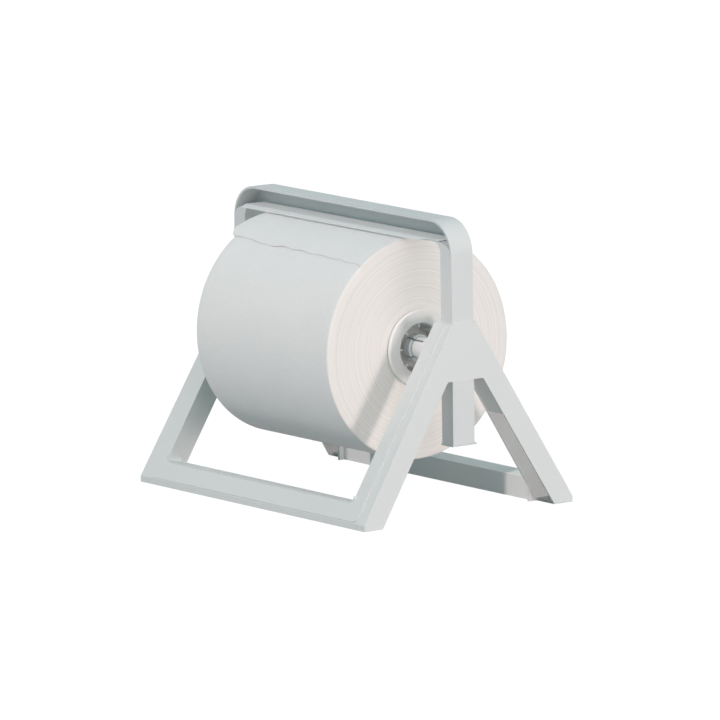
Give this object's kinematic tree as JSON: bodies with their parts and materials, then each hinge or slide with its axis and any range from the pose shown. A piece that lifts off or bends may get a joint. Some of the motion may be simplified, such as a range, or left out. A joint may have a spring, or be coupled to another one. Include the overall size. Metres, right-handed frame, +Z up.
{
  "type": "countertop roll dispenser",
  "caption": "Countertop dispenser for a wide paper roll: a four-footed stand, a lift-out arch with a toothed tear edge, and the roll turning on axle pins.",
  "frame": {"origin": "centre of the footprint, on the surface the stand rests on", "axes": "+X along the roll towards the end seen in the picture, -Y towards the front with the torn edge, +Z up"},
  "size_m": [0.4268, 0.2948, 0.3336],
  "materials": {
    "stand_plastic": "fine satin moulding",
    "carrier_plastic": "fine satin moulding",
    "blade_plastic": "satin",
    "pin_plastic": "semi-gloss",
    "plug_plastic": "satin",
    "paper": "soft creped paper",
    "core_card": "plain card",
    "pad_rubber": "matte, pale",
    "screw_steel": "plain"
  },
  "bodies": {
    "stand": {"left_side_frame": "stand_plastic", "right_side_frame": "stand_plastic", "front_frame": "stand_plastic", "rear_frame": "stand_plastic", "left_leg_guide": "stand_plastic", "right_leg_guide": "stand_plastic", "front_left_foot_pad": "pad_rubber", "front_right_foot_pad": "pad_rubber", "rear_left_foot_pad": "pad_rubber", "rear_right_foot_pad": "pad_rubber"},
    "carrier": {"carrier_arch": "carrier_plastic", "tear_bar": "blade_plastic", "left_axle_stub": "pin_plastic", "right_axle_stub": "pin_plastic", "left_axle_screw": "screw_steel", "right_axle_screw": "screw_steel"},
    "roll": {"paper_roll": "paper", "core_tube": "core_card", "left_core_plug": "plug_plastic", "right_core_plug": "plug_plastic", "loose_sheet": "paper"}
  },
  "joints": [
    {"name": "carrier_lift", "type": "slide", "parent": "stand", "child": "carrier", "axis": [0, 0, 1], "range_m": [0, 0.0725]},
    {"name": "roll_spin", "type": "hinge", "parent": "carrier", "child": "roll", "pos_m": [0, 0, 0.181], "axis": [1, 0, 0], "continuous": true}
  ]
}
